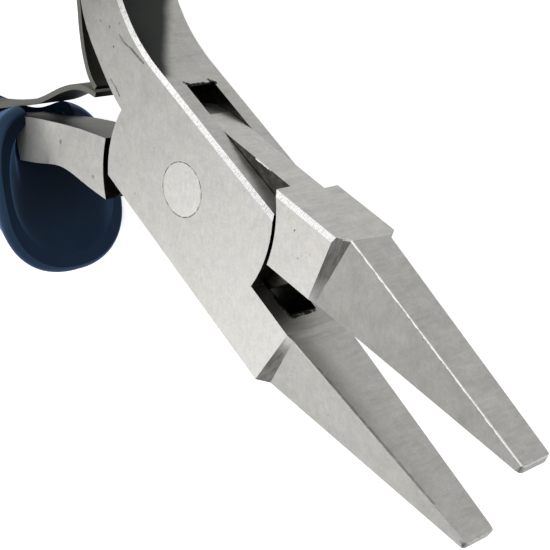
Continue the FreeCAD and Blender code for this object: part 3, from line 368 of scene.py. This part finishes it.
# tongue arrises: painted highlights along the upper jaw's edges
tongue_steel = steel("tongue_half_steel", kind="tongue",
                     arrises=[((18.75, 9.72, 7.55), (19.62, 9.94, 6.52), 0.14, 1.0, HIGHLIGHT_PAINT), ((19.62, 9.94, 6.52), (45.78, 5.86, 6.13), 0.15, 0.80, HIGHLIGHT_PAINT), ((19.9, 9.94, 1.48), (45.78, 5.86, 1.87), 0.14, 0.7, HIGHLIGHT_PAINT),
                              ((45.78, 5.86, 6.0), (45.78, 5.86, 2.0), 0.14, 0.9, HIGHLIGHT_PAINT), ((45.87, 5.06, 6.0), (45.87, 5.06, 2.0), 0.12, 0.7, HIGHLIGHT_PAINT),
                              ((5.2, 8.09, 5.84), (7.4, 8.37, 5.84), 0.16, 0.85, HIGHLIGHT_PAINT), ((2.5, 7.78, 3.06), (4.4, 8.0, 3.35), 0.12, 0.8, HIGHLIGHT_PAINT)],
                     pits=[(-18.28, -8.35, 0.34, 0.60), (-11.9, -8.15, 0.32, 0.45), (14.41, 6.99, 0.16, 0.7), (16.2, 4.9, 0.12, 0.5)],
                     specks=[(16.67, 6.12, 0.20), (17.16, 6.31, 0.18), (16.95, 5.75, 0.14)])
pin_steel = steel("pivot_rivet_steel", tint=(0.72, 0.715, 0.695), gloss=0.29, kind="rivet_pin")
rivet_steel = steel("spring_rivet_steel", tint=(0.60, 0.595, 0.575), gloss=0.29, kind="rivet")
spring_steel = spring_strip("spring_steel")
blue = plastic("blue_grip")
for name, mats in (("box_half", (box_steel,)), ("tongue_half", (tongue_steel,)), ("pivot_rivet", (pin_steel,)), ("box_spring", (spring_steel,)),
                   ("tongue_spring", (spring_steel,)), ("box_spring_rivet", (rivet_steel,)), ("tongue_spring_rivet", (rivet_steel,)), ("box_grip", (blue,)), ("tongue_grip", (blue,))):
    o = nodes[name]
    while len(o.material_slots) < len(mats):
        o.data.materials.append(None)
    for slot, mat in zip(o.material_slots, mats):
        slot.link = "OBJECT"
        slot.material = mat


# each leaf spring is copied into a new object that carries the spring material, and the original is hidden
for half, way in (("box", 1.0), ("tongue", -1.0)):
    node = nodes[half + "_spring"]
    leaf = bpy.data.objects.new(half + "_spring_leaf", node.data.copy())
    leaf.matrix_world = node.matrix_world.copy()
    scene.collection.objects.link(leaf)
    for spot in leaf.material_slots:
        spot.link = "OBJECT"
        spot.material = spring_steel
    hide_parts(half + "_spring")
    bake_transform(leaf)

# ---------------------------------------------------------------- surroundings
world = bpy.data.worlds.new("studio")
scene.world = world
world.use_nodes = True
world.node_tree.nodes.clear()
k = Nodes(world.node_tree)
out = k.n.new("ShaderNodeOutputWorld")
bg = k.n.new("ShaderNodeBackground")
k.l.new(bg.outputs[0], out.inputs[0])
d = k.n.new("ShaderNodeTexCoord").outputs["Generated"]


# soft lobes around a plain room: direction, tightness, amount over the room's even light
LOBES = [
    ((-0.35, -0.63, 0.70), 42, 1.250),
    ((-0.66, -0.40, 0.63), 40, -0.400),
    ((-0.24, -0.20, 0.95), 24, -0.200),
    ((-0.26, -0.86, 0.44), 20, 0.060),
    ((-0.10, 0.66, -0.75), 10, -0.020),
    ((-0.58, 0.38, -0.73), 14, 0.240),
    ((-0.40, 0.60, -0.69), 30, -0.176),
    ((-0.72, -0.28, -0.64), 10, -0.200),
    ((0.72, -0.32, 0.60), 5, -0.361),
    ((-0.58, 0.05, 0.81), 40, 1.000),
    ((-0.12, 0.72, 0.66), 9, 1.100),
    ((0.50, -0.83, 0.05), 8, -0.116),
    ((0.15, -0.55, 0.80), 12, -0.082),
]
light = None
for direction, tight, amount in LOBES:
    v = Vector(direction).normalized()
    dot = k.vmath("DOT_PRODUCT", d, tuple(v), out=1)
    term = k.math("MULTIPLY", k.math("EXPONENT", k.math("MULTIPLY", k.math("SUBTRACT", dot, 1.0), float(tight))), amount)
    light = k.math("ADD", light if light is not None else 0.60, term)
light = k.math("MAXIMUM", light, 0.04)
k.l.new(light, bg.inputs["Strength"])
bg.inputs["Color"].default_value = (1.0, 0.995, 0.985, 1.0)


def area(name, where, target, size, power):
    lamp = bpy.data.lights.new(name, "AREA")
    lamp.shape = "SQUARE"
    lamp.size = size
    lamp.energy = power
    o = bpy.data.objects.new(name, lamp)
    scene.collection.objects.link(o)
    o.location = where
    o.rotation_euler = (Vector(target) - Vector(where)).to_track_quat("-Z", "Y").to_euler()
    return o


for lamp in (area("key", (-0.30, -0.42, 0.55), (0, 0, 0), 0.50, 0.9), area("fill", (0.55, 0.25, 0.50), (0, 0, 0), 0.50, 0.4)):
    lamp.visible_glossy = False

mesh = bpy.data.meshes.new("floor")
low = cad_box[0][2] if not isinstance(cad_box, dict) else cad_box["min"][2]
s, zf = 3.0, low - 0.0001
mesh.from_pydata([(-s, -s, zf), (s, -s, zf), (s, s, zf), (-s, s, zf)], [], [(0, 1, 2, 3)])
floor = bpy.data.objects.new("floor", mesh)
scene.collection.objects.link(floor)
fm = bpy.data.materials.new("floor_white")
fm.use_nodes = True
b = fm.node_tree.nodes["Principled BSDF"]
b.inputs["Base Color"].default_value = (0.80, 0.80, 0.80, 1)
b.inputs["Roughness"].default_value = 0.9
b.inputs["Emission Color"].default_value = (1, 1, 1, 1)
b.inputs["Emission Strength"].default_value = 0.75
mesh.materials.append(fm)
floor.visible_glossy = False

# ---------------------------------------------------------------- camera
cam = bpy.data.cameras.new("camera")
cam.sensor_width = 36.0
cam.lens = 94.906
cam.clip_start = 0.005
cam.clip_end = 20.0
co = bpy.data.objects.new("camera", cam)
scene.collection.objects.link(co)
rot = Matrix(((0.61234568, -0.66504589, 0.42748887), (0.38234482, 0.72239705, 0.57615532), (-0.69198642, -0.18935807, 0.69663356)))
co.matrix_world = Matrix.Translation((0.07574354, 0.08354943, 0.10728328)) @ rot.to_4x4()
scene.camera = co
